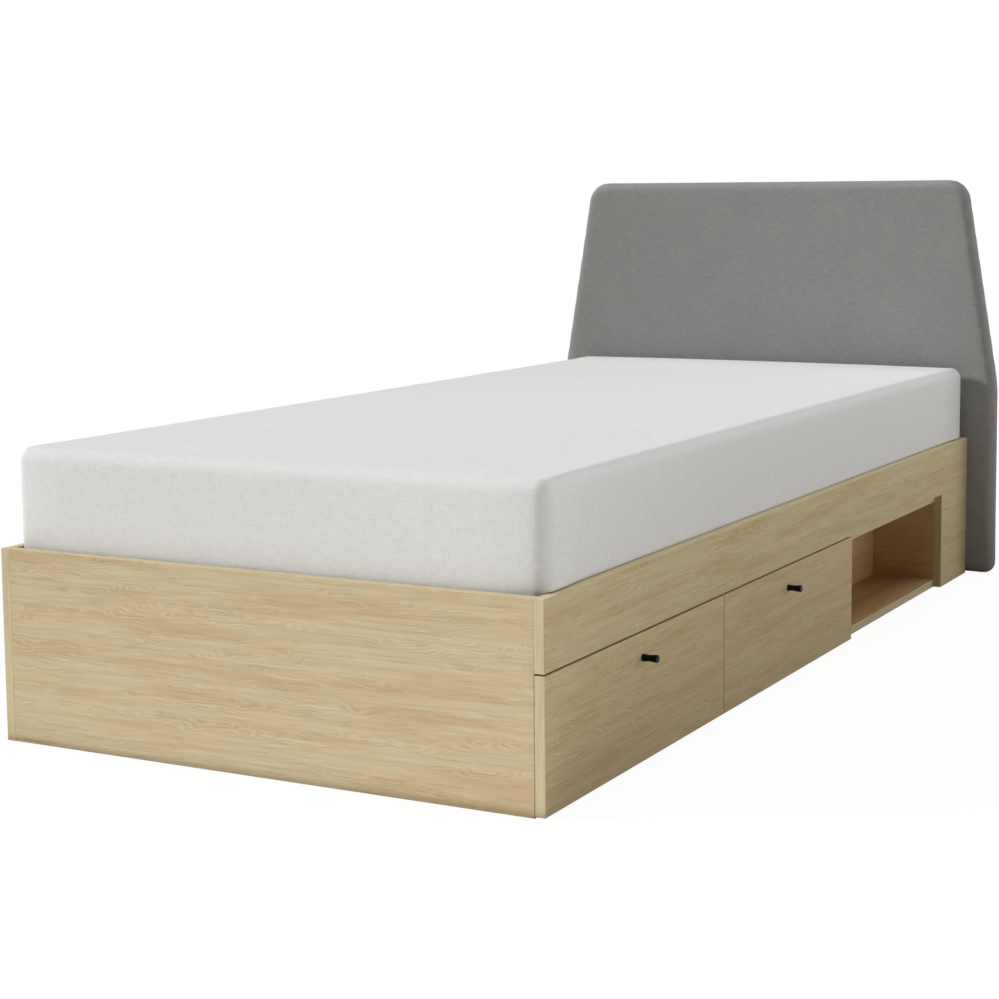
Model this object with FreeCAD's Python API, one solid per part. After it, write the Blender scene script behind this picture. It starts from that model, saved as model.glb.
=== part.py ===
import FreeCAD, Part
import os
from math import atan2, cos, radians, sin, tan

# Single bed with an upholstered headboard, two side drawers and an open shelf.
# X runs across the bed with the drawers on the +X side, Y runs from the foot to
# the headboard and Z is up. All sizes are in millimetres. The pieces are laid out
# with Y = 0 on the foot panel's outer face and are moved to the middle of the
# floor outline when they are saved.

# Board frame
BOARD = 16.0
FRAME_WIDTH = 942.0
FRAME_LENGTH = 2024.0
FRAME_HEIGHT = 302.0
RAIL_HEIGHT = 102.0
STILE_WIDTH = 189.5
EDGE_RADIUS = 0.8

# Drawer bays and the open shelf beside them
BAY_WIDTH = 600.8
DRAWER_COUNT = 2
NICHE_DEPTH = 135.0

# Drawer fronts
FRONT_GAP_TOP = 3.0
FRONT_GAP_FLOOR = 2.5
FRONT_GAP_BETWEEN = 2.0
FRONT_REST_GAP = 0.8
FRONT_REVEAL = 1.5

# Drawer boxes
DRAWER_BOARD = 12.0
DRAWER_DEPTH = 570.0
DRAWER_BOX_HEIGHT = 150.0
DRAWER_BOX_LIFT = 22.0
BASE_THICK = 3.0
BASE_LIFT = 8.0
GROOVE_DEPTH = 6.0
GROOVE_CLEAR = 0.4

# Knobs: each one's distance from the foot-side edge of its drawer front
KNOB_FROM_EDGE = (313.0, 288.0)
KNOB_HEIGHT = 159.5
KNOB_LENGTH = 24.5
KNOB_ROOT_RADIUS = 5.8
KNOB_WAIST_RADIUS = 4.8
KNOB_WAIST_FROM_ROOT = 10.5
KNOB_TIP_RADIUS = 6.2
KNOB_CHAMFER = 0.8
KNOB_BORE_DEPTH = 13.0
KNOB_SCREW_RADIUS = 2.0
KNOB_SCREW_BITE = 12.0
KNOB_SCREW_HEAD_RADIUS = 4.2
KNOB_SCREW_HEAD = 2.6
SCREW_CLEAR = 0.1
SCREW_HOLE_CLEAR = 0.3

# Telescopic runners: three nested steel channels on each side of a drawer
RUNNER_SPACE = 13.0
RUNNER_HEIGHT = 45.0
RUNNER_LENGTH = 550.0
RUNNER_SETBACK = 2.0
RUNNER_CENTRE = 92.0
RUNNER_GAUGE = 1.2
RUNNER_LIP = 2.0
RUNNER_CLEAR = 0.4
RUNNER_FIXED_DEPTH = 9.4
RUNNER_TONGUE_REACH = 3.6

# Slatted base
BATTEN_HEIGHT = 38.0
BATTEN_WIDTH = 24.0
SLAT_COUNT = 14
SLAT_WIDTH = 70.0
SLAT_THICK = 18.0
SLAT_END_GAP = 2.0
SLAT_MARGIN = 26.0
STRAP_WIDTH = 25.0
STRAP_THICK = 1.0
STRAP_SPACING = 560.0

# Mattress: its upper part swells over the side boards' top edges
MATTRESS_HEIGHT = 200.0
MATTRESS_SIDE_GAP = 0.5
MATTRESS_END_GAP = 1.5
MATTRESS_OVERHANG = 12.0
MATTRESS_EDGE = 24.0
MATTRESS_LIP_RADIUS = 9.0
MATTRESS_CROWN = 3.0
MATTRESS_WADDING = 12.0
SOFT_CLEAR = 0.3

# Headboard
HEADBOARD_WIDTH = 1061.0
HEADBOARD_TOP_WIDTH = 912.0
HEADBOARD_HEIGHT = 868.0
HEADBOARD_THICK = 50.0
HEADBOARD_BEND_HEIGHT = 421.0
HEADBOARD_BEND_RADIUS = 220.0
HEADBOARD_TOP_RADIUS = 48.0
HEADBOARD_FOOT_RADIUS = 16.0
HEADBOARD_EDGE = 23.0
HEADBOARD_WADDING = 10.0
HEADBOARD_HEM = 1.5
HEADBOARD_BOARD_THICK = 18.0
HEADBOARD_PADDING = 24.0
BOLT_RADIUS = 4.0
BOLT_HEAD_ACROSS = 13.0
BOLT_HEAD = 5.3
BOLT_BITE = 14.0
BOLT_SPREAD = 620.0
BOLT_HEIGHTS = (60.0, 180.0)

# Places worked out from the sizes above
HALF_WIDTH = FRAME_WIDTH / 2
INNER_HALF = HALF_WIDTH - BOARD
RAIL_BOTTOM = FRAME_HEIGHT - RAIL_HEIGHT
STILE_START = FRAME_LENGTH - STILE_WIDTH
SLAT_BOTTOM = RAIL_BOTTOM + BATTEN_HEIGHT
MATTRESS_BOTTOM = SLAT_BOTTOM + SLAT_THICK + SOFT_CLEAR
MATTRESS_LIP = FRAME_HEIGHT + SOFT_CLEAR
HEADBOARD_FRONT = FRAME_LENGTH + SOFT_CLEAR
TOTAL_LENGTH = HEADBOARD_FRONT + HEADBOARD_THICK
FRONT_BACK_FACE = INNER_HALF + FRONT_REST_GAP
FRONT_FACE = FRONT_BACK_FACE + BOARD
BASE_BOTTOM = DRAWER_BOX_LIFT + BASE_LIFT

# Distance within which an edge counts as lying in a plane
SAME_PLACE = 0.01

X_AXIS = FreeCAD.Vector(1, 0, 0)
Y_AXIS = FreeCAD.Vector(0, 1, 0)
Z_AXIS = FreeCAD.Vector(0, 0, 1)

pieces = {}
cuts = {}


def box(x, y, z):
    """Block between two values on each axis."""
    corner = FreeCAD.Vector(x[0], y[0], z[0])
    return Part.makeBox(x[1] - x[0], y[1] - y[0], z[1] - z[0], corner)


def rod(start, axis, radius, length):
    """Round bar from a point along an axis."""
    return Part.makeCylinder(radius, length, start, axis)


def ease(shape, keep):
    """Round the edges that pass a test to the boards' edge radius."""
    return shape.makeFillet(EDGE_RADIUS, [edge for edge in shape.Edges if keep(edge)])


def on_plane(axis, value):
    """Test for the edges that lie in one plane."""
    def test(edge):
        low = getattr(edge.BoundBox, axis + "Min")
        high = getattr(edge.BoundBox, axis + "Max")
        return abs(low - value) < SAME_PLACE and abs(high - value) < SAME_PLACE
    return test


def rounded_face(corners, radii, place):
    """Face inside a polygon whose corners are rounded to the given radii."""
    edges = []
    ends = []
    for index, corner in enumerate(corners):
        here = FreeCAD.Vector(*corner, 0)
        before = (FreeCAD.Vector(*corners[index - 1], 0) - here).normalize()
        after = (FreeCAD.Vector(*corners[(index + 1) % len(corners)], 0) - here).normalize()
        if radii[index] == 0:
            ends.append((here, here))
            continue
        half_angle = before.getAngle(after) / 2
        reach = radii[index] / tan(half_angle)
        start = here + before * reach
        finish = here + after * reach
        inward = (before + after).normalize()
        middle = here + inward * (radii[index] / cos(atan2(reach, radii[index])) - radii[index])
        edges.append(Part.Arc(place(start), place(middle), place(finish)).toShape())
        ends.append((start, finish))
    for index, (start, finish) in enumerate(ends):
        following = ends[(index + 1) % len(ends)][0]
        edges.append(Part.LineSegment(place(finish), place(following)).toShape())
    return Part.Face(Part.Wire(Part.__sortEdges__(edges)))


def add_cut(node, tool):
    """Keep a hole for a board until all of its holes are known."""
    cuts.setdefault(node, []).append(tool)


def bay(index):
    """Low and high Y of a drawer bay."""
    low = BOARD + index * (BAY_WIDTH + BOARD)
    return low, low + BAY_WIDTH


def front_span(index):
    """Low and high Y of a drawer front, which laps the boards beside its bay."""
    low, high = bay(index)
    half_lap = (BOARD - FRONT_GAP_BETWEEN) / 2
    start = 0.0 if index == 0 else low - half_lap
    finish = high + BOARD + FRONT_REVEAL if index == DRAWER_COUNT - 1 else high + half_lap
    return start, finish


def partition_starts():
    """Low Y of each cross partition: one after each bay and one behind the stile."""
    return [bay(index)[1] for index in range(DRAWER_COUNT)] + [STILE_START]


def make_frame():
    """Outer boards: foot panel, plain left side, right side with its stile, head end."""
    foot = box((-INNER_HALF, INNER_HALF), (0, BOARD), (0, FRAME_HEIGHT))
    pieces["foot_panel"] = ease(foot, on_plane("Y", 0))
    left = box((-HALF_WIDTH, -INNER_HALF), (0, FRAME_LENGTH), (0, FRAME_HEIGHT))
    pieces["left_side_panel"] = ease(left, on_plane("X", -HALF_WIDTH))
    outline = [
        (0, RAIL_BOTTOM),
        (STILE_START, RAIL_BOTTOM),
        (STILE_START, 0),
        (FRAME_LENGTH, 0),
        (FRAME_LENGTH, FRAME_HEIGHT),
        (0, FRAME_HEIGHT),
    ]
    wire = Part.makePolygon([FreeCAD.Vector(INNER_HALF, y, z) for y, z in outline + outline[:1]])
    right = Part.Face(wire).extrude(X_AXIS * BOARD)
    pieces["right_side_panel"] = ease(right, on_plane("X", HALF_WIDTH))
    head = (FRAME_LENGTH - BOARD, FRAME_LENGTH)
    pieces["head_end_panel"] = box((-INNER_HALF, INNER_HALF), head, (0, SLAT_BOTTOM))


def make_partitions():
    """Boards across the bed that carry the drawers and the slat battens."""
    for number, start in enumerate(partition_starts(), 1):
        name = "cross_partition_%d" % number
        pieces[name] = box((-INNER_HALF, INNER_HALF), (start, start + BOARD), (0, RAIL_BOTTOM))


def make_niche():
    """Open shelf box between the last bay and the stile."""
    start = partition_starts()[-2] + BOARD
    width = (start, STILE_START)
    back = INNER_HALF - NICHE_DEPTH
    depth = (back - BOARD, INNER_HALF)
    pieces["niche_floor"] = box(depth, width, (0, BOARD))
    pieces["niche_top"] = box(depth, width, (RAIL_BOTTOM - BOARD, RAIL_BOTTOM))
    pieces["niche_back"] = box((back - BOARD, back), width, (BOARD, RAIL_BOTTOM - BOARD))


def make_slats():
    """Battens along the sides, slats across them, and the straps that space the slats."""
    length = (BOARD, FRAME_LENGTH - BOARD)
    rise = (RAIL_BOTTOM, SLAT_BOTTOM)
    pieces["left_batten"] = box((-INNER_HALF, -INNER_HALF + BATTEN_WIDTH), length, rise)
    pieces["right_batten"] = box((INNER_HALF - BATTEN_WIDTH, INNER_HALF), length, rise)
    half = INNER_HALF - SLAT_END_GAP
    first = BOARD + SLAT_MARGIN
    last = FRAME_LENGTH - BOARD - SLAT_MARGIN - SLAT_WIDTH
    pitch = (last - first) / (SLAT_COUNT - 1)
    top = SLAT_BOTTOM + SLAT_THICK
    for index in range(SLAT_COUNT):
        start = first + index * pitch
        slat = box((-half, half), (start, start + SLAT_WIDTH), (SLAT_BOTTOM, top))
        pieces["slat_%02d" % (index + 1)] = slat
    straps = []
    for side in (-1, 1):
        low = side * STRAP_SPACING / 2 - STRAP_WIDTH / 2
        depth = (SLAT_BOTTOM - STRAP_THICK, SLAT_BOTTOM)
        straps.append(box((low, low + STRAP_WIDTH), (first, last + SLAT_WIDTH), depth))
    pieces["slat_straps"] = Part.makeCompound(straps)


def make_drawer(index):
    """Box, front, knob and runners of one drawer."""
    label = "drawer_%d_" % (index + 1)
    low, high = bay(index)
    y0 = low + RUNNER_SPACE
    y1 = high - RUNNER_SPACE
    x0 = FRONT_BACK_FACE - DRAWER_DEPTH
    top = DRAWER_BOX_LIFT + DRAWER_BOX_HEIGHT
    groove_height = (BASE_BOTTOM, BASE_BOTTOM + BASE_THICK + GROOVE_CLEAR)
    groove_y = (y0 + DRAWER_BOARD - GROOVE_DEPTH, y1 - DRAWER_BOARD + GROOVE_DEPTH)
    groove_x = (x0, FRONT_BACK_FACE + GROOVE_DEPTH)
    groove = box(groove_x, groove_y, groove_height)
    side_x = (x0, FRONT_BACK_FACE)
    side_z = (DRAWER_BOX_LIFT, top)
    pieces[label + "left_side"] = box(side_x, (y0, y0 + DRAWER_BOARD), side_z).cut(groove)
    pieces[label + "right_side"] = box(side_x, (y1 - DRAWER_BOARD, y1), side_z).cut(groove)
    back_y = (y0 + DRAWER_BOARD, y1 - DRAWER_BOARD)
    back_z = (BASE_BOTTOM + BASE_THICK, top)
    pieces[label + "back"] = box((x0, x0 + DRAWER_BOARD), back_y, back_z)
    base_x = (x0, groove_x[1] - GROOVE_CLEAR)
    base_y = (groove_y[0] + GROOVE_CLEAR, groove_y[1] - GROOVE_CLEAR)
    pieces[label + "base"] = box(base_x, base_y, (BASE_BOTTOM, BASE_BOTTOM + BASE_THICK))
    front_y = front_span(index)
    front_z = (FRONT_GAP_FLOOR, RAIL_BOTTOM - FRONT_GAP_TOP)
    front = box((FRONT_BACK_FACE, FRONT_FACE), front_y, front_z)
    front = ease(front, on_plane("X", FRONT_FACE)).cut(groove)
    centre = FreeCAD.Vector(FRONT_FACE, front_y[0] + KNOB_FROM_EDGE[index], KNOB_HEIGHT)
    hole = rod(centre, X_AXIS * -1, KNOB_SCREW_RADIUS + SCREW_HOLE_CLEAR, BOARD)
    pieces[label + "front"] = front.cut(hole)
    pieces[label + "knob"] = knob(centre)
    pieces[label + "knob_screw"] = knob_screw(centre)
    make_runners(label, low, high)


def knob(centre):
    """Waisted round knob turned about X, with a blind hole for its screw."""
    def at(along, radius):
        return centre + X_AXIS * along + Z_AXIS * radius

    bore = KNOB_SCREW_RADIUS + SCREW_CLEAR
    profile = [
        at(0, bore),
        at(0, KNOB_ROOT_RADIUS),
        at(KNOB_WAIST_FROM_ROOT, KNOB_WAIST_RADIUS),
        at(KNOB_LENGTH - KNOB_CHAMFER, KNOB_TIP_RADIUS),
        at(KNOB_LENGTH, KNOB_TIP_RADIUS - KNOB_CHAMFER),
        at(KNOB_LENGTH, 0),
        at(KNOB_BORE_DEPTH, 0),
        at(KNOB_BORE_DEPTH, bore),
    ]
    return Part.Face(Part.makePolygon(profile + profile[:1])).revolve(centre, X_AXIS, 360)


def knob_screw(centre):
    """Machine screw from inside the drawer through the front into the knob."""
    start = centre - X_AXIS * BOARD
    shank = rod(start, X_AXIS, KNOB_SCREW_RADIUS, BOARD + KNOB_SCREW_BITE)
    head = rod(start, X_AXIS * -1, KNOB_SCREW_HEAD_RADIUS, KNOB_SCREW_HEAD)
    return shank.fuse(head).removeSplitter()


def runner_sections():
    """Upper halves of the three channels as (distance from the bay wall, height)."""
    gauge = RUNNER_GAUGE
    clear = RUNNER_CLEAR
    fixed = RUNNER_HEIGHT / 2
    middle = fixed - gauge - RUNNER_LIP - clear
    moving = middle - gauge - RUNNER_LIP - clear
    fixed_end = RUNNER_FIXED_DEPTH
    middle_start = gauge + clear
    middle_end = RUNNER_SPACE - gauge - clear
    outer_tongue = fixed_end - gauge - clear
    inner_tongue = middle_end - gauge - clear
    moving_start = inner_tongue - RUNNER_TONGUE_REACH
    fixed_section = [
        (0, fixed),
        (fixed_end, fixed),
        (fixed_end, fixed - gauge - RUNNER_LIP),
        (fixed_end - gauge, fixed - gauge - RUNNER_LIP),
        (fixed_end - gauge, fixed - gauge),
        (gauge, fixed - gauge),
    ]
    middle_section = [
        (middle_start, middle),
        (outer_tongue - gauge, middle),
        (outer_tongue - gauge, fixed - gauge - clear),
        (outer_tongue, fixed - gauge - clear),
        (outer_tongue, middle),
        (middle_end, middle),
        (middle_end, middle - gauge - RUNNER_LIP),
        (middle_end - gauge, middle - gauge - RUNNER_LIP),
        (middle_end - gauge, middle - gauge),
        (middle_start + gauge, middle - gauge),
    ]
    moving_section = [
        (RUNNER_SPACE, moving),
        (inner_tongue, moving),
        (inner_tongue, middle - gauge - clear),
        (inner_tongue - gauge, middle - gauge - clear),
        (inner_tongue - gauge, moving),
        (moving_start, moving),
        (moving_start, moving - gauge),
        (RUNNER_SPACE - gauge, moving - gauge),
    ]
    return {"fixed": fixed_section, "middle": middle_section, "moving": moving_section}


def make_runners(label, low, high):
    """Left and right runner of a bay, one node for each of the three channels."""
    start = INNER_HALF - RUNNER_SETBACK - RUNNER_LENGTH
    for role, half in runner_sections().items():
        section = half + [(t, -h) for t, h in reversed(half)]
        channels = []
        for wall, toward in ((low, 1), (high, -1)):
            points = [FreeCAD.Vector(start, wall + toward * t, RUNNER_CENTRE + h) for t, h in section]
            face = Part.Face(Part.makePolygon(points + points[:1]))
            channels.append(face.extrude(X_AXIS * RUNNER_LENGTH))
        pieces[label + "runner_" + role] = Part.makeCompound(channels)


def mattress_length(inset):
    """Low and high Y of the mattress, drawn in at both ends."""
    return BOARD + MATTRESS_END_GAP + inset, FRAME_LENGTH - MATTRESS_END_GAP - inset


def mattress_lower(inset, top):
    """Block that lies between the side boards, drawn in at its sides, ends and underside."""
    half = INNER_HALF - MATTRESS_SIDE_GAP - inset
    return box((-half, half), mattress_length(inset), (MATTRESS_BOTTOM + inset, top))


def mattress_upper(inset):
    """Wider block above the side boards, drawn in all round."""
    half = INNER_HALF + MATTRESS_OVERHANG - inset
    rise = (MATTRESS_LIP + inset, MATTRESS_BOTTOM + MATTRESS_HEIGHT - inset)
    return box((-half, half), mattress_length(inset), rise)


def mattress_block(inset):
    """Square-cut mattress, drawn in by the same amount all round."""
    upper = mattress_upper(inset)
    return upper.fuse(mattress_lower(inset, upper.BoundBox.ZMax)).removeSplitter()


def mattress_form():
    """Outside of the mattress: crowned top, soft edges and a lip that rolls over the boards."""
    block = mattress_upper(0).BoundBox
    top_left = FreeCAD.Vector(block.XMin, block.YMin, block.ZMax)
    top_right = FreeCAD.Vector(block.XMax, block.YMin, block.ZMax)
    low_left = FreeCAD.Vector(block.XMin, block.YMin, block.ZMin)
    low_right = FreeCAD.Vector(block.XMax, block.YMin, block.ZMin)
    crest = FreeCAD.Vector(0, block.YMin, block.ZMax + MATTRESS_CROWN)
    crown = Part.Arc(top_right, crest, top_left).toShape()
    sides = Part.makePolygon([top_left, low_left, low_right, top_right]).Edges
    end = Part.Face(Part.Wire(Part.__sortEdges__([crown] + sides)))
    upper = end.extrude(Y_AXIS * block.YLength)
    on_lip = on_plane("Z", MATTRESS_LIP)
    upper = upper.makeFillet(MATTRESS_EDGE, [edge for edge in upper.Edges if not on_lip(edge)])
    upper = upper.makeFillet(MATTRESS_LIP_RADIUS, [edge for edge in upper.Edges if on_lip(edge)])
    joint = MATTRESS_LIP + MATTRESS_EDGE
    on_joint = on_plane("Z", joint)
    lower = mattress_lower(0, joint)
    lower = lower.makeFillet(MATTRESS_EDGE, [edge for edge in lower.Edges if not on_joint(edge)])
    return upper.fuse(lower).removeSplitter()


def make_mattress():
    """Foam core in a wadded knitted cover."""
    pieces["mattress_cover"] = mattress_form().cut(mattress_block(MATTRESS_WADDING))
    pieces["mattress_core"] = mattress_block(MATTRESS_WADDING + SOFT_CLEAR)


def headboard_face(inset, bottom, y):
    """Headboard outline: upright sides, a soft bend, then a taper to the rounded top."""
    half = HEADBOARD_WIDTH / 2
    run = half - HEADBOARD_TOP_WIDTH / 2
    lean = atan2(run, HEADBOARD_HEIGHT - HEADBOARD_BEND_HEIGHT)
    top = HEADBOARD_HEIGHT - inset
    bend = HEADBOARD_BEND_HEIGHT - inset * tan(lean / 2)
    top_half = half - (top - HEADBOARD_BEND_HEIGHT) * tan(lean) - inset / cos(lean)
    side = half - inset
    corners = [
        (-side, bottom),
        (side, bottom),
        (side, bend),
        (top_half, top),
        (-top_half, top),
        (-side, bend),
    ]
    bend_radius = HEADBOARD_BEND_RADIUS - inset
    top_radius = HEADBOARD_TOP_RADIUS - inset
    radii = [0, 0, bend_radius, top_radius, top_radius, bend_radius]
    return rounded_face(corners, radii, lambda point: FreeCAD.Vector(point.x, y, point.y))


def headboard_block(inset, bottom, thick):
    """Square-edged slab of the headboard's outline, drawn in at the sides and top."""
    front = HEADBOARD_FRONT + (HEADBOARD_THICK - thick) / 2
    return headboard_face(inset, bottom, front).extrude(Y_AXIS * thick)


def headboard_form():
    """Outside of the headboard: the slab with rolled edges, cut off flat at the floor."""
    slab = headboard_block(0, 0, HEADBOARD_THICK)
    front = HEADBOARD_FRONT
    back = HEADBOARD_FRONT + HEADBOARD_THICK
    on_front = on_plane("Y", front)
    on_back = on_plane("Y", back)
    on_floor = on_plane("Z", 0)
    rolled = []
    for edge in slab.Edges:
        if (on_front(edge) or on_back(edge)) and not on_floor(edge):
            rolled.append(edge)
    form = slab.makeFillet(HEADBOARD_EDGE, rolled)
    radius = HEADBOARD_FOOT_RADIUS
    for side in (-1, 1):
        outer = side * HEADBOARD_WIDTH / 2
        inner = outer - side * radius
        corner = box(sorted((inner, outer)), (front, back), (0, radius))
        roll = rod(FreeCAD.Vector(inner, front, radius), Y_AXIS, radius, HEADBOARD_THICK)
        form = form.cut(corner.cut(roll))
    return form


def make_headboard():
    """Board in a foam envelope under a wadded fabric cover, bolted to the head end panel."""
    foam_inset = HEADBOARD_WADDING + SOFT_CLEAR
    foam_thick = HEADBOARD_THICK - 2 * foam_inset
    foam_bottom = HEADBOARD_HEM + SOFT_CLEAR
    board_front = HEADBOARD_FRONT + (HEADBOARD_THICK - HEADBOARD_BOARD_THICK) / 2
    cavity_thick = HEADBOARD_THICK - 2 * HEADBOARD_WADDING
    pocket_inset = HEADBOARD_PADDING - SOFT_CLEAR
    pocket_thick = HEADBOARD_BOARD_THICK + 2 * SOFT_CLEAR
    cavity = headboard_block(HEADBOARD_WADDING, HEADBOARD_HEM, cavity_thick)
    pocket = headboard_block(pocket_inset, foam_bottom, pocket_thick)
    pieces["headboard_cover"] = headboard_form().cut(cavity)
    pieces["headboard_foam"] = headboard_block(foam_inset, foam_bottom, foam_thick).cut(pocket)
    pieces["headboard_board"] = headboard_block(HEADBOARD_PADDING, foam_bottom, HEADBOARD_BOARD_THICK)
    head_face = FRAME_LENGTH - BOARD
    reach = board_front + BOLT_BITE - head_face
    bolts = []
    for x in (-BOLT_SPREAD / 2, BOLT_SPREAD / 2):
        for z in BOLT_HEIGHTS:
            start = FreeCAD.Vector(x, head_face, z)
            bolts.append(hexagon_bolt(start, reach))
            hole = rod(start, Y_AXIS, BOLT_RADIUS + SCREW_CLEAR, reach)
            for node in ("head_end_panel", "headboard_cover", "headboard_foam", "headboard_board"):
                add_cut(node, hole)
    pieces["headboard_bolts"] = Part.makeCompound(bolts)


def hexagon_bolt(start, reach):
    """Bolt along Y whose head sits on the near side of a point."""
    radius = BOLT_HEAD_ACROSS / 2 / cos(radians(30))
    corners = []
    for step in range(7):
        angle = radians(60 * step)
        corners.append(start + X_AXIS * (radius * cos(angle)) + Z_AXIS * (radius * sin(angle)))
    head = Part.Face(Part.makePolygon(corners)).extrude(Y_AXIS * -BOLT_HEAD)
    return head.fuse(rod(start, Y_AXIS, BOLT_RADIUS, reach))


def save():
    """Drill the boards, move everything to the middle of the floor outline and write it."""
    for node, tools in cuts.items():
        pieces[node] = pieces[node].cut(tools)
    os.makedirs("parts", exist_ok=True)
    for node, shape in pieces.items():
        shape.translate(Y_AXIS * (-TOTAL_LENGTH / 2))
        shape.exportStep("parts/%s.step" % node)


make_frame()
make_partitions()
make_niche()
make_slats()
for drawer in range(DRAWER_COUNT):
    make_drawer(drawer)
make_mattress()
make_headboard()
save()
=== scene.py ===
from math import atan2, cos, pi, radians, sin, tan

import bmesh
import bpy
from mathutils import Matrix, Vector


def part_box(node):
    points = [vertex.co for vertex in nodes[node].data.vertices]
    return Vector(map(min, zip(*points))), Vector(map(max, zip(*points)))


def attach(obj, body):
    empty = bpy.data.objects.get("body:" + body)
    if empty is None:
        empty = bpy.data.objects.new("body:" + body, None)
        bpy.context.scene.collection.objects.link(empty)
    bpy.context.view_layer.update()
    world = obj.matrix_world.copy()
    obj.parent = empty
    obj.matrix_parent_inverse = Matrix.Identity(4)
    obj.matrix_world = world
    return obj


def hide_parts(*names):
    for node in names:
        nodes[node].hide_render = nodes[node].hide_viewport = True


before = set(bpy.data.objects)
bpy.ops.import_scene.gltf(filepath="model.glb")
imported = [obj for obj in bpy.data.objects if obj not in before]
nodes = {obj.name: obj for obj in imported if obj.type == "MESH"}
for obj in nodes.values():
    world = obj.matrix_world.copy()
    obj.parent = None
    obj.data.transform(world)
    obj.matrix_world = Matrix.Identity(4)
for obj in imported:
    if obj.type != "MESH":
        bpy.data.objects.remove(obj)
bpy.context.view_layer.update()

scene = bpy.context.scene
scene.view_settings.view_transform = "Standard"

# Sizes in metres, in the frame's own axes: X to the drawers, Y to the headboard, Z up
OAK_LINES = 0.0040
MATTRESS_EDGE = 0.024
MATTRESS_SHRINK = 0.001
MATTRESS_PITCH = 0.025
MATTRESS_SWELL = 0.010
MATTRESS_PROUD = 0.002
MATTRESS_CROWN = 0.003
MATTRESS_SIDE_GAP = 0.0008
MATTRESS_LIP_GAP = 0.0006
HEADBOARD_TOP_WIDTH = 0.912
HEADBOARD_BEND_HEIGHT = 0.421
HEADBOARD_BEND_RADIUS = 0.220
HEADBOARD_TOP_RADIUS = 0.048
HEADBOARD_FOOT_RADIUS = 0.016
HEADBOARD_EDGE = 0.023
HEADBOARD_GROW = 0.0008
HEADBOARD_VOXEL = 0.009
HEADBOARD_SWELL = 0.0025
FLOOR_SIZE = 60
FLOOR_DROP = 0.0005
PANEL_HEIGHT = 0.004
SAME_PLACE = 0.0001

# Mattress rows at the side boards' top edges: rise above the edges, share of the overhang
MATTRESS_LIP = ((-0.0020, 0.0), (0.0, 0.0), (0.0005, 0.55), (0.0030, 0.87), (0.0085, 1.0))

# Plain numbers: steps round curves, sharpness of the mattress's front corners, and cloth settings
CORNER_STEPS = 10
EDGE_STEPS = 6
MATTRESS_CORNER_POWER = 10
CLOTH_FRAMES = 20
CLOTH_QUALITY = 4
CLOTH_PRESSURE = 4.0
CLOTH_STIFFNESS = 25
CLOTH_BENDING = 4

# Camera, from the photograph's perspective: metres, degrees, and millimetres for the lens
CAMERA_PLACE = (1.7066, -3.4070, 0.8323)
CAMERA_YAW = 27.344
CAMERA_PITCH = -6.467
CAMERA_ROLL = 0.365
CAMERA_LENS = 73.638
CAMERA_SENSOR = 36
CAMERA_SHIFT = (-0.05, -0.07)

# Light: a little from all round, far lamps (direction, degrees wide, strength) and floor panels
AMBIENT = 0.01
SUNS = (
    ("key", (-0.84, -0.486, 0.462), 14, 0.78),
    ("top", (0.0, 0.0, 1.0), 50, 0.52),
    ("fill", (0.62, 0.78, 0.20), 40, 0.25),
    ("right", (1.0, 0.0, 0.06), 60, 0.17),
)
FLOOR_PANELS = (
    ("panel_right", (2.14, 0.0), (1.84, 6.0), 1.00),
    ("panel_back", (0.0, 2.60), (6.0, 2.0), 0.70),
    ("panel_front", (0.0, -2.145), (6.0, 2.2), 0.64),
)
FLOOR_COLOUR = (0.40, 0.37, 0.34, 1)
FLOOR_SHARE = 0.85
FLOOR_GLOW = 1.115


# Shader helpers

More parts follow.
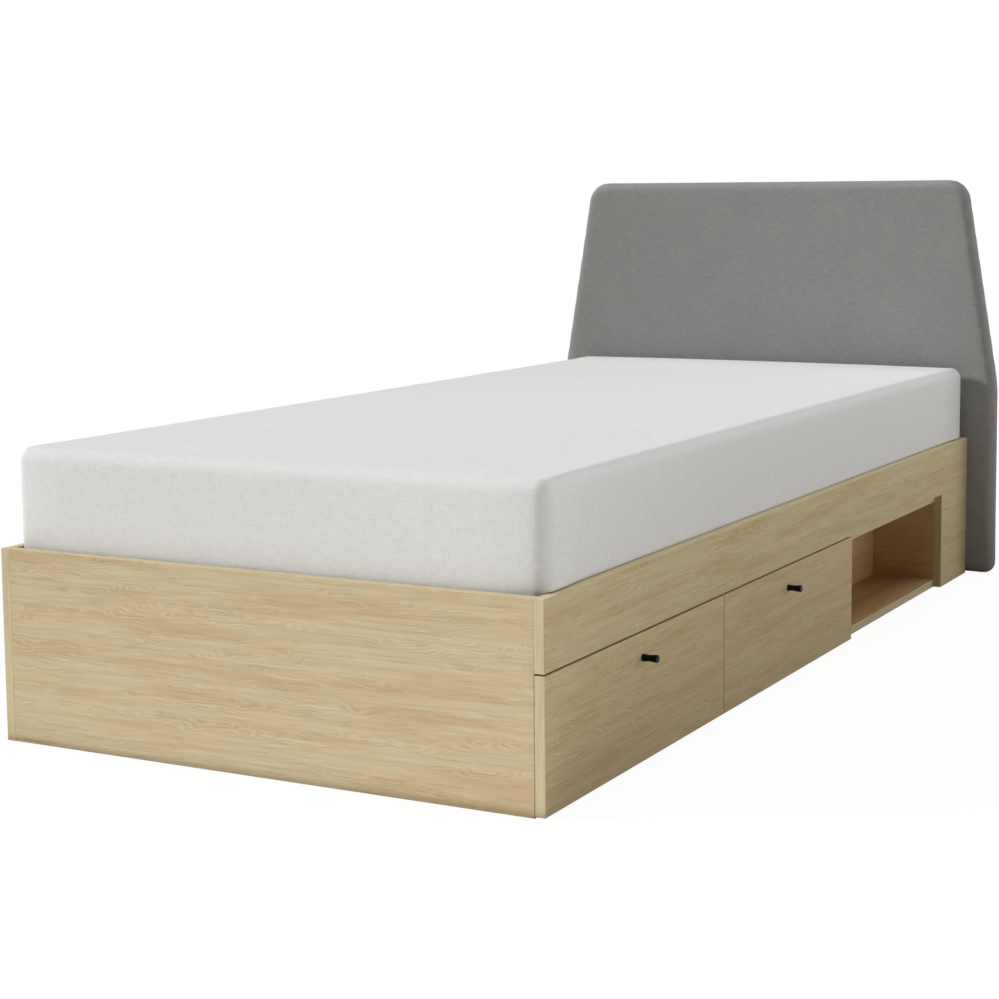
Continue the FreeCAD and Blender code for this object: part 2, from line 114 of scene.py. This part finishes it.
class Shader:
    """One material and short ways to add its nodes."""

    def __init__(self, name):
        self.material = bpy.data.materials.new(name)
        self.material.use_nodes = True
        self.tree = self.material.node_tree
        self.surface = self.tree.nodes["Principled BSDF"]

    def feed(self, socket, value):
        """Give a socket a number, a vector or another node's output."""
        if isinstance(value, bpy.types.NodeSocket):
            self.tree.links.new(value, socket)
        else:
            socket.default_value = value

    def node(self, kind, *values, **settings):
        """Add a node, with values for its first inputs in order."""
        made = self.tree.nodes.new(kind)
        for name, value in settings.items():
            setattr(made, name, value)
        for socket, value in zip(made.inputs, values):
            self.feed(socket, value)
        return made

    def calc(self, operation, a, b=0.0, c=0.0):
        """One step of arithmetic on up to three values."""
        return self.node("ShaderNodeMath", a, b, c, operation=operation).outputs[0]

    def stretch(self, vector, scale, shift=(0, 0, 0)):
        """Vector times a scale, plus a shift."""
        made = self.node("ShaderNodeVectorMath", vector, scale, shift, operation="MULTIPLY_ADD")
        return made.outputs[0]

    def noise(self, vector, scale, detail, roughness=0.5, shift=(0, 0, 0)):
        """Noise from 0 to 1, stretched by a scale on each axis."""
        made = self.node("ShaderNodeTexNoise")
        self.feed(made.inputs["Vector"], self.stretch(vector, scale, shift))
        made.inputs["Scale"].default_value = 1.0
        made.inputs["Detail"].default_value = detail
        made.inputs["Roughness"].default_value = roughness
        return made.outputs[0]

    def span(self, value, low, high, new_low=0.0, new_high=1.0):
        """Value carried from one range to another, held at the ends."""
        made = self.node("ShaderNodeMapRange", value, low, high, new_low, new_high)
        made.interpolation_type = "SMOOTHSTEP"
        return made.outputs[0]

    def blend(self, factor, a, b):
        """Colour between two colours."""
        made = self.node("ShaderNodeMix", data_type="RGBA")
        for index, value in ((0, factor), (6, a), (7, b)):
            self.feed(made.inputs[index], value)
        return made.outputs[2]

    def place(self):
        """Place on the piece at rest."""
        return self.node("ShaderNodeTexCoord").outputs["Object"]

    def facing(self):
        """Direction that the piece's surface faces, as three separate outputs."""
        normal = self.node("ShaderNodeTexCoord").outputs["Normal"]
        return self.node("ShaderNodeSeparateXYZ", normal).outputs

    def bump(self, height, distance, strength):
        """Normal from a height between 0 and 1."""
        made = self.node("ShaderNodeBump")
        made.inputs["Strength"].default_value = strength
        made.inputs["Distance"].default_value = distance
        self.feed(made.inputs["Height"], height)
        self.feed(self.surface.inputs["Normal"], made.outputs[0])

    def finish(self, colour, roughness, others=None):
        """Set the surface's colour, roughness and any other inputs by name."""
        inputs = {"Base Color": colour, "Roughness": roughness, **(others or {})}
        for name, value in inputs.items():
            self.feed(self.surface.inputs[name], value)
        return self.material


def linear(red, green, blue):
    """Scene colour of a colour given in display values from 0 to 255."""
    out = []
    for value in (red, green, blue):
        share = value / 255
        out.append(share / 12.92 if share <= 0.04045 else ((share + 0.055) / 1.055) ** 2.4)
    return (*out, 1.0)


# Colours of the materials, and the painted shade and painted light that the oak's are multiplied by on
# some boards

OAK_PALE = linear(211, 197, 161)
OAK_MID = linear(201, 184, 147)
OAK_TAN = linear(198, 171, 128)
OAK_DARK = linear(161, 137, 99)
OAK_LIGHT = linear(224, 212, 180)
OAK_EDGE = linear(211, 196, 160)
PINE = (linear(228, 201, 156), linear(205, 172, 122))
DRAWER_BOARD = (linear(226, 223, 215), linear(214, 210, 200))
CHIPBOARD = (linear(205, 178, 138), linear(176, 146, 104))
ZINC = (linear(168, 171, 174), linear(216, 218, 220))
BLACK = (linear(4, 4, 4), linear(14, 14, 15))
TAPE = (linear(196, 196, 190), linear(226, 226, 221))
KNIT = (linear(219, 219, 218), linear(230, 230, 229))
WEAVE = (linear(141, 140, 139), linear(158, 157, 155))
PLAIN = (1, 1, 1)
# Painted shade in the niche: its boards are darker and warmer, for the shade there and the warm light
# off the oak round it
NICHE_PAINTED_SHADE = (1.00, 0.84, 0.69)
# Painted shading per board: the right side panel and the drawer fronts are darker and warmer as
# painted shade, and the foot panel is a little lighter as painted light
OAK_PAINTED_SHADING = {
    "foot_panel": (1.01, 1.00, 1.00),
    "right_side_panel": (0.92, 0.90, 0.85),
    "drawer_1_front": (0.93, 0.88, 0.80),
    "drawer_2_front": (0.93, 0.88, 0.80),
    "cross_partition_2": NICHE_PAINTED_SHADE,
    "cross_partition_3": NICHE_PAINTED_SHADE,
    "niche_floor": (0.84, 0.68, 0.51),
    "niche_top": NICHE_PAINTED_SHADE,
    "niche_back": (1.06, 0.90, 0.70),
}

# Where on the grain each next board lies, and the order of axes for grain along X or Y
OAK_STEP = (3.7, 1.9, 5.3)
AXES = {"X": (0, 1, 2), "Y": (1, 2, 0)}

# Noise per metre across and along the covers' threads
KNIT_THREADS = (420, 70)
WEAVE_THREADS = (560, 60)


# Materials

def with_painted_shading(colour, tone):
    """Colour multiplied by a tone, which paints shade or light on one board."""
    return (*[value * share for value, share in zip(colour, tone)], 1.0)


def oak(name, seed):
    """Oak laminate on one board: figured faces with level grain, and plain banding on the edges."""
    low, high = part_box(name)
    deep, across, along = sorted(range(3), key=lambda axis: high[axis] - low[axis])
    make = Shader("oak_" + name)
    parts = make.node("ShaderNodeSeparateXYZ", make.place()).outputs
    turned = make.node("ShaderNodeCombineXYZ", parts[along], parts[across], parts[deep]).outputs[0]
    place = make.stretch(turned, (1, 1, 1), [seed * step for step in OAK_STEP])
    # Painted shade and light: the oak's colours are made darker and warmer, or a little lighter, on
    # some boards
    tone = OAK_PAINTED_SHADING.get(name, PLAIN)
    shades = (OAK_PALE, OAK_MID, OAK_TAN, OAK_DARK, OAK_LIGHT)
    pale_oak, mid_oak, tan_oak, dark_oak, light_oak = [with_painted_shading(shade, tone) for shade in shades]
    # Grain lines, bent by long waves and, in figured patches, by small curls
    patches = make.span(make.noise(place, (5, 24, 24), 2), 0.42, 0.62)
    waves = make.noise(place, (2.5, 10, 10), 1, shift=(2, 8, 4))
    curls = make.noise(place, (13, 42, 42), 1.5, 0.5, shift=(7, 3, 1))
    bend = make.calc("MULTIPLY", curls, make.calc("MULTIPLY_ADD", patches, 6, 2))
    bend = make.calc("MULTIPLY_ADD", waves, 12, bend)
    level = make.node("ShaderNodeSeparateXYZ", place).outputs[1]
    phase = make.calc("MULTIPLY_ADD", level, 1 / OAK_LINES, bend)
    rings = make.calc("SINE", make.calc("MULTIPLY", phase, 2 * pi))
    rings = make.calc("MULTIPLY_ADD", rings, 0.5, 0.5)
    strength = make.calc("MULTIPLY_ADD", patches, 0.17, 0.05)
    dark = make.calc("MULTIPLY", make.calc("POWER", rings, 2.5), strength)
    spaces = make.calc("SUBTRACT", 1.0, rings)
    pale = make.calc("MULTIPLY", make.calc("POWER", spaces, 4.0), strength)
    # Warm bands, straight streaks, short flecks and fibres
    bands = make.span(make.noise(place, (3.5, 44, 44), 2.5, shift=(1, 6, 3)), 0.47, 0.66)
    streaks = make.span(make.noise(place, (5, 130, 130), 3, 0.6, shift=(5, 1, 9)), 0.3, 0.72)
    flecks = make.noise(place, (16, 300, 300), 2, 0.5, shift=(8, 5, 2))
    flecks = make.span(flecks, 0.52, 0.70, 0.0, 0.24)
    glints = make.noise(place, (18, 260, 260), 2, 0.5, shift=(3, 9, 6))
    glints = make.span(glints, 0.54, 0.70, 0.0, 0.29)
    fibre = make.noise(place, (22, 650, 650), 2, 0.6, shift=(4, 4, 8))
    colour = make.blend(streaks, mid_oak, pale_oak)
    colour = make.blend(make.calc("MULTIPLY", bands, 0.7), colour, tan_oak)
    colour = make.blend(dark, colour, dark_oak)
    colour = make.blend(make.calc("MULTIPLY", pale, 1.5), colour, light_oak)
    colour = make.blend(flecks, colour, dark_oak)
    colour = make.blend(glints, colour, light_oak)
    colour = make.blend(make.calc("MULTIPLY_ADD", fibre, 0.4, -0.1), colour, mid_oak)
    lines = make.noise(place, (12, 12, 420), 2, 0.5, shift=(2, 2, 2))
    banding = make.blend(make.span(lines, 0.35, 0.65), OAK_EDGE, OAK_MID)
    face = make.span(make.calc("ABSOLUTE", make.facing()[deep]), 0.5, 0.7)
    colour = make.blend(face, banding, colour)
    make.bump(make.calc("MULTIPLY_ADD", rings, -0.3, fibre), 0.0002, 0.3)
    rough = make.calc("MULTIPLY_ADD", fibre, 0.18, 0.48)
    return make.finish(colour, rough, {"Specular IOR Level": 0.06})


def linen(name, dark, pale, scale, swing, upright_share, mottle_share, shine):
    """Plain-woven cloth: uneven threads both ways, a slow mottle and a little fuzz."""
    make = Shader(name)
    place = make.place()
    fine, long = scale
    level = make.noise(place, (long, long, fine), 2, 0.6)
    upright = make.noise(place, (fine, fine, long), 2, 0.6, shift=(3, 1, 5))
    fuzz = make.noise(place, (1400, 1400, 1400), 2, 0.6)
    mottle = make.noise(place, (9, 9, 9), 3, 0.6)
    threads = make.calc("MULTIPLY", upright, upright_share)
    threads = make.calc("MULTIPLY_ADD", level, 1 - upright_share, threads)
    tone = make.calc("MULTIPLY", threads, 1 - mottle_share)
    tone = make.calc("MULTIPLY_ADD", mottle, mottle_share, tone)
    colour = make.blend(make.span(tone, 0.5 - swing, 0.5 + swing), dark, pale)
    make.bump(make.calc("MULTIPLY_ADD", fuzz, 0.4, threads), 0.0008, 0.45)
    return make.finish(colour, 0.9, {"Specular IOR Level": shine, "Sheen Weight": shine / 2})


def planed(name, grain, pale, dark):
    """Plain timber or board with soft straight grain."""
    make = Shader(name)
    parts = make.node("ShaderNodeSeparateXYZ", make.place()).outputs
    along, across, deep = AXES[grain]
    place = make.node("ShaderNodeCombineXYZ", parts[along], parts[across], parts[deep]).outputs[0]
    sway = make.noise(place, (1.5, 9, 9), 2)
    rows = make.noise(place, (1.2, 55, 55), 3, 0.5)
    rings = make.calc("SINE", make.calc("MULTIPLY_ADD", rows, 40, make.calc("MULTIPLY", sway, 16)))
    fibre = make.noise(place, (20, 800, 800), 2, 0.6)
    tone = make.calc("MULTIPLY_ADD", rings, 0.25, make.calc("MULTIPLY", fibre, 0.6))
    colour = make.blend(make.span(tone, 0.0, 0.6), dark, pale)
    make.bump(fibre, 0.0002, 0.3)
    return make.finish(colour, make.calc("MULTIPLY_ADD", fibre, 0.2, 0.5))


def steel():
    """Zinc-plated steel with fine rolling marks along X."""
    make = Shader("zinc_steel")
    place = make.place()
    marks = make.noise(place, (12, 2200, 2200), 2, 0.6)
    cloud = make.noise(place, (30, 30, 30), 3, 0.6)
    tone = make.calc("MULTIPLY_ADD", marks, 0.5, make.calc("MULTIPLY", cloud, 0.5))
    colour = make.blend(tone, *ZINC)
    make.bump(marks, 0.0001, 0.25)
    rough = make.calc("MULTIPLY_ADD", cloud, 0.2, 0.24)
    return make.finish(colour, rough, {"Metallic": 1.0})


def black_coat():
    """Satin black coat with a fine orange-peel texture."""
    make = Shader("black_metal")
    place = make.place()
    peel = make.noise(place, (900, 900, 900), 2, 0.5)
    cloud = make.noise(place, (120, 120, 120), 2)
    colour = make.blend(cloud, *BLACK)
    make.bump(peel, 0.0001, 0.4)
    rough = make.calc("MULTIPLY_ADD", cloud, 0.15, 0.36)
    return make.finish(colour, rough, {"Specular IOR Level": 0.08})


def webbing():
    """Pale woven tape."""
    make = Shader("webbing")
    place = make.place()
    threads = make.noise(place, (900, 120, 900), 2, 0.6)
    colour = make.blend(threads, *TAPE)
    make.bump(threads, 0.0003, 0.6)
    return make.finish(colour, 0.85)


def coat(piece, material):
    """Give a piece one material all over."""
    piece.data.materials.clear()
    piece.data.materials.append(material)


def paint(material, *names):
    """Give CAD nodes a material."""
    for name in names:
        coat(nodes[name], material)


# Soft pieces

def link(name, build):
    """New object from a mesh under construction."""
    mesh = bpy.data.meshes.new(name)
    build.to_mesh(mesh)
    build.free()
    piece = bpy.data.objects.new(name, mesh)
    scene.collection.objects.link(piece)
    return piece


def hull(name, points):
    """Closed convex mesh round a set of points."""
    build = bmesh.new()
    for point in points:
        build.verts.new(point)
    bmesh.ops.remove_doubles(build, verts=build.verts, dist=SAME_PLACE)
    made = bmesh.ops.convex_hull(build, input=build.verts)
    spare = set(made["geom_interior"] + made["geom_unused"])
    bmesh.ops.delete(build, geom=list(spare), context="VERTS")
    bmesh.ops.recalc_face_normals(build, faces=build.faces)
    return link(name, build)


def apply_modifiers(piece):
    """Turn what the modifiers show into the piece's own mesh."""
    shown = piece.evaluated_get(bpy.context.evaluated_depsgraph_get())
    mesh = bpy.data.meshes.new_from_object(shown)
    piece.modifiers.clear()
    piece.data = mesh


def remesh(piece, voxel):
    """Even quads all over a piece, smoothed once."""
    change = piece.modifiers.new("even", "REMESH")
    change.mode = "VOXEL"
    change.voxel_size = voxel
    smooth = piece.modifiers.new("smooth", "SMOOTH")
    smooth.iterations = 1
    smooth.factor = 0.5
    apply_modifiers(piece)


def swell(piece, most):
    """Blow a piece up a little with cloth, moving no point further than a limit."""
    rest = [vertex.co.copy() for vertex in piece.data.vertices]
    cloth = piece.modifiers.new("cloth", "CLOTH")
    settings = cloth.settings
    settings.quality = CLOTH_QUALITY
    settings.use_pressure = True
    settings.uniform_pressure_force = CLOTH_PRESSURE
    settings.effector_weights.gravity = 0
    settings.tension_stiffness = CLOTH_STIFFNESS
    settings.compression_stiffness = CLOTH_STIFFNESS
    settings.bending_stiffness = CLOTH_BENDING
    cloth.point_cache.frame_end = CLOTH_FRAMES
    for step in range(1, CLOTH_FRAMES + 1):
        scene.frame_set(step)
    apply_modifiers(piece)
    for vertex, start in zip(piece.data.vertices, rest):
        move = vertex.co - start
        if move.length > most:
            vertex.co = start + move * (most / move.length)
    scene.frame_set(1)


def hold(piece, low, high):
    """Press a piece flat where it meets the box that it lies in."""
    for vertex in piece.data.vertices:
        for axis in range(3):
            vertex.co[axis] = min(max(vertex.co[axis], low[axis]), high[axis])


def soften(piece):
    """Smooth shading on a surface divided once more."""
    for polygon in piece.data.polygons:
        polygon.use_smooth = True
    change = piece.modifiers.new("fine", "SUBSURF")
    change.levels = 1
    change.render_levels = 1


def stops(low, high, edge, pitch):
    """Places of the grid lines along one side of a box: close round the edges, even between."""
    turns = [edge * tan(radians(angle)) for angle in (45, 30, 15)]
    count = round((high - low - 2 * edge) / pitch)
    step = (high - low - 2 * edge) / count
    even = [low + edge + step * index for index in range(count + 1)]
    first = [low + edge - turn for turn in turns]
    last = [high - edge + turn for turn in reversed(turns)]
    return first + even + last


def rounded_box(name, low, high, edge, pitch, heights):
    """Box of even quads with rounded edges and extra rows at some heights."""
    lines = [stops(low[axis], high[axis], edge, pitch) for axis in range(3)]
    kept = [line for line in lines[2] if min(abs(line - height) for height in heights) > pitch / 4]
    lines[2] = sorted(kept + heights)
    build = bmesh.new()
    made = {}

    def vertex(spot):
        key = tuple(round(value, 6) for value in spot)
        if key not in made:
            ends = zip(spot, low, high)
            inner = Vector([min(max(value, least + edge), most - edge) for value, least, most in ends])
            made[key] = build.verts.new(inner + (Vector(spot) - inner).normalized() * edge)
        return made[key]

    for axis in range(3):
        one, two = (axis + 1) % 3, (axis + 2) % 3
        for end in (low[axis], high[axis]):
            for a, b in zip(lines[one], lines[one][1:]):
                for c, d in zip(lines[two], lines[two][1:]):
                    corners = []
                    for first, second in ((a, c), (b, c), (b, d), (a, d)):
                        spot = [end, end, end]
                        spot[one], spot[two] = first, second
                        corners.append(vertex(spot))
                    build.faces.new(corners)
    bmesh.ops.recalc_face_normals(build, faces=build.faces)
    return link(name, build)


def lip_share(rise):
    """How much of the overhang a row has at a height above the side boards."""
    for (below, less), (above, more) in zip(MATTRESS_LIP, MATTRESS_LIP[1:]):
        if rise < above:
            share = max(rise - below, 0) / (above - below)
            return less + (more - less) * share
    return 1.0


def make_mattress(material):
    """Foam mattress in its cover: held between the boards, and rolled over their edges above."""
    low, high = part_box("mattress_cover")
    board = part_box("right_side_panel")
    lip = board[1].z + MATTRESS_LIP_GAP
    inner = board[0].x - MATTRESS_SIDE_GAP
    rows = [lip + rise for rise, share in MATTRESS_LIP]
    inset = Vector((MATTRESS_SHRINK, MATTRESS_SHRINK, MATTRESS_SHRINK))
    piece = rounded_box("mattress", low + inset, high - inset, MATTRESS_EDGE, MATTRESS_PITCH, rows)
    rest = [vertex.co.copy() for vertex in piece.data.vertices]
    swell(piece, MATTRESS_SWELL)
    for vertex, start in zip(piece.data.vertices, rest):
        share = lip_share(start.z - lip)
        half = inner + (high.x - inner) * share
        proud = MATTRESS_PROUD * share
        crest = high.z - MATTRESS_CROWN * (vertex.co.x / high.x) ** 2
        vertex.co.x = min(max(vertex.co.x, -half), half)
        vertex.co.y = min(max(vertex.co.y, low.y - proud), high.y)
        # The front stays upright, and only its corners are drawn in
        if start.y < low.y + MATTRESS_EDGE:
            slack = MATTRESS_SWELL * (start.x / high.x) ** MATTRESS_CORNER_POWER
            vertex.co.y = min(vertex.co.y, start.y + slack)
        # The top is crowned, and the rows at the boards' edges stay level
        vertex.co.z = min(max(vertex.co.z, low.z), crest)
        if rows[0] - SAME_PLACE < start.z < rows[-1] + SAME_PLACE:
            vertex.co.z = start.z
    soften(piece)
    coat(piece, material)
    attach(piece, "frame")
    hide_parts("mattress_cover", "mattress_core")


def headboard_outline(low, high, inset):
    """Corners and radii of the headboard's outline on its right side, drawn in by an inset."""
    half = (high.x - low.x) / 2 - inset
    top = high.z - inset
    taper = (high.x - low.x) / 2 - HEADBOARD_TOP_WIDTH / 2
    lean = atan2(taper, high.z - HEADBOARD_BEND_HEIGHT)
    top_half = half - (top - HEADBOARD_BEND_HEIGHT) * tan(lean)
    return [
        (half, low.z + inset, HEADBOARD_FOOT_RADIUS),
        (half, HEADBOARD_BEND_HEIGHT, HEADBOARD_BEND_RADIUS),
        (top_half, top, HEADBOARD_TOP_RADIUS),
    ]


def corner_arc(before, corner, after, radius, steps):
    """Points and outward directions round a rounded corner."""
    here = Vector(corner)
    back = (Vector(before) - here).normalized()
    on = (Vector(after) - here).normalized()
    half = back.angle(on) / 2
    inward = (back + on).normalized()
    centre = here + inward * (radius / sin(half))
    first = (here + back * (radius / tan(half)) - centre).normalized()
    last = (here + on * (radius / tan(half)) - centre).normalized()
    found = []
    for step in range(steps + 1):
        way = first.slerp(last, step / steps)
        found.append((centre + way * radius, way))
    return found


def headboard_points(low, high, inset):
    """Points of the rolled-edge headboard."""
    right = headboard_outline(low, high, inset)
    ring = right + [(-x, z, radius) for x, z, radius in reversed(right)]
    middle = (low.y + high.y) / 2
    flat = (high.y - low.y) / 2 - inset - HEADBOARD_EDGE
    points = []
    for index, (x, z, radius) in enumerate(ring):
        before = ring[index - 1][:2]
        after = ring[(index + 1) % len(ring)][:2]
        for place, way in corner_arc(before, (x, z), after, radius, CORNER_STEPS):
            edge = min(HEADBOARD_EDGE, radius)
            for side in (-1, 1):
                for turn in range(EDGE_STEPS + 1):
                    angle = side * pi / 2 * turn / EDGE_STEPS
                    spot = place - way * edge * (1 - cos(angle))
                    depth = side * (flat + HEADBOARD_EDGE - edge) + edge * sin(angle)
                    points.append((spot.x, middle + depth, spot.y))
    return points


def make_headboard(material):
    """Padded headboard in its woven cover."""
    low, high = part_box("headboard_cover")
    piece = hull("headboard", headboard_points(low, high, -HEADBOARD_GROW))
    remesh(piece, HEADBOARD_VOXEL)
    swell(piece, HEADBOARD_SWELL)
    hold(piece, low, high)
    soften(piece)
    coat(piece, material)
    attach(piece, "frame")
    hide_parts("headboard_cover", "headboard_foam")


# Stage, light and camera

def seen_directly(tree, share):
    """A share for rays that show the background: from the camera, in gloss and through glass."""
    path = tree.nodes.new("ShaderNodeLightPath")
    total = path.outputs["Is Camera Ray"]
    for name in ("Is Glossy Ray", "Is Transmission Ray"):
        most = tree.nodes.new("ShaderNodeMath")
        most.operation = "MAXIMUM"
        tree.links.new(total, most.inputs[0])
        tree.links.new(path.outputs[name], most.inputs[1])
        total = most.outputs[0]
    scaled = tree.nodes.new("ShaderNodeMath")
    scaled.operation = "MULTIPLY"
    scaled.inputs[1].default_value = share
    tree.links.new(total, scaled.inputs[0])
    return scaled.outputs[0]


def join_by_ray(tree, share, lit, shown, out):
    """Show one shader where it is seen directly, by a share, and use another one for the light."""
    mix = tree.nodes.new("ShaderNodeMixShader")
    tree.links.new(seen_directly(tree, share), mix.inputs[0])
    tree.links.new(lit.outputs[0], mix.inputs[1])
    tree.links.new(shown.outputs[0], mix.inputs[2])
    tree.links.new(mix.outputs[0], out.inputs["Surface"])


def make_floor():
    """Pale floor that shows white and keeps a soft shadow."""
    bpy.ops.mesh.primitive_plane_add(size=FLOOR_SIZE, location=(0, 0, -FLOOR_DROP))
    floor = bpy.context.object
    floor.name = "floor"
    material = bpy.data.materials.new("floor")
    material.use_nodes = True
    tree = material.node_tree
    tree.nodes.clear()
    out = tree.nodes.new("ShaderNodeOutputMaterial")
    diffuse = tree.nodes.new("ShaderNodeBsdfDiffuse")
    diffuse.inputs["Color"].default_value = FLOOR_COLOUR
    glow = tree.nodes.new("ShaderNodeEmission")
    glow.inputs["Color"].default_value = (1, 1, 1, 1)
    glow.inputs["Strength"].default_value = FLOOR_GLOW
    join_by_ray(tree, FLOOR_SHARE, diffuse, glow, out)
    floor.data.materials.append(material)


def make_world():
    """White surroundings that give a little light."""
    world = bpy.data.worlds.new("studio")
    scene.world = world
    world.use_nodes = True
    tree = world.node_tree
    tree.nodes.clear()
    out = tree.nodes.new("ShaderNodeOutputWorld")
    ambient = tree.nodes.new("ShaderNodeBackground")
    ambient.inputs["Color"].default_value = (1, 1, 1, 1)
    ambient.inputs["Strength"].default_value = AMBIENT
    white = tree.nodes.new("ShaderNodeBackground")
    white.inputs["Color"].default_value = (1, 1, 1, 1)
    white.inputs["Strength"].default_value = 1.0
    join_by_ray(tree, 1.0, ambient, white, out)


def soft_sun(name, way, spread, strength):
    """Far, wide lamp in a direction, which gives a white face turned to it its strength."""
    data = bpy.data.lights.new(name, "SUN")
    data.angle = radians(spread)
    data.energy = strength * pi
    lamp = bpy.data.objects.new(name, data)
    lamp.rotation_euler = Vector(way).to_track_quat("Z", "Y").to_euler()
    scene.collection.objects.link(lamp)


def floor_panel(name, place, size, strength):
    """Soft panel that lies on the floor and shines up, like a brightly lit studio floor."""
    data = bpy.data.lights.new(name, "AREA")
    data.shape = "RECTANGLE"
    data.size, data.size_y = size
    data.energy = strength * pi * size[0] * size[1]
    lamp = bpy.data.objects.new(name, data)
    lamp.location = (*place, PANEL_HEIGHT)
    lamp.rotation_euler.x = pi
    lamp.visible_camera = False
    lamp.visible_glossy = False
    scene.collection.objects.link(lamp)


def make_camera():
    """Camera at the photograph's viewing angle."""
    data = bpy.data.cameras.new("camera")
    data.lens = CAMERA_LENS
    data.sensor_width = CAMERA_SENSOR
    data.shift_x, data.shift_y = CAMERA_SHIFT
    camera = bpy.data.objects.new("camera", data)
    turn = Matrix.Rotation(radians(CAMERA_YAW), 4, "Z")
    turn = turn @ Matrix.Rotation(radians(CAMERA_PITCH), 4, "X")
    turn = turn @ Matrix.Rotation(radians(CAMERA_ROLL), 4, "Y")
    turn = turn @ Matrix.Rotation(radians(90), 4, "X")
    camera.matrix_world = Matrix.Translation(CAMERA_PLACE) @ turn
    scene.collection.objects.link(camera)
    scene.camera = camera


# Put it together

BOARDS = (
    "foot_panel", "head_end_panel", "cross_partition_1", "cross_partition_2", "cross_partition_3",
    "left_side_panel", "right_side_panel", "niche_floor", "niche_top", "niche_back",
    "drawer_1_front", "drawer_2_front",
)
SLATS = ["slat_%02d" % number for number in range(1, 15)]
for seed, name in enumerate(BOARDS):
    paint(oak(name, seed), name)
paint(planed("pine_slats", "X", *PINE), *SLATS)
paint(planed("pine_battens", "Y", *PINE), "left_batten", "right_batten")
zinc = steel()
black = black_coat()
for drawer in ("drawer_1_", "drawer_2_"):
    box_board = planed(drawer + "box", "X", *DRAWER_BOARD)
    paint(box_board, drawer + "left_side", drawer + "right_side", drawer + "base")
    paint(planed(drawer + "back_board", "Y", *DRAWER_BOARD), drawer + "back")
    paint(black, drawer + "knob")
    paint(zinc, drawer + "knob_screw")
    paint(zinc, drawer + "runner_fixed", drawer + "runner_middle", drawer + "runner_moving")
paint(zinc, "headboard_bolts")
paint(webbing(), "slat_straps")
paint(planed("chipboard", "X", *CHIPBOARD), "headboard_board")
make_mattress(linen("mattress_knit", *KNIT, KNIT_THREADS,
                    swing=0.24, upright_share=0.45, mottle_share=0.04, shine=0.15))
make_headboard(linen("grey_weave", *WEAVE, WEAVE_THREADS,
                     swing=0.22, upright_share=0.36, mottle_share=0.18, shine=0.02))
make_floor()
make_world()
for name, way, spread, strength in SUNS:
    soft_sun(name, way, spread, strength)
for name, place, size, strength in FLOOR_PANELS:
    floor_panel(name, place, size, strength)
make_camera()
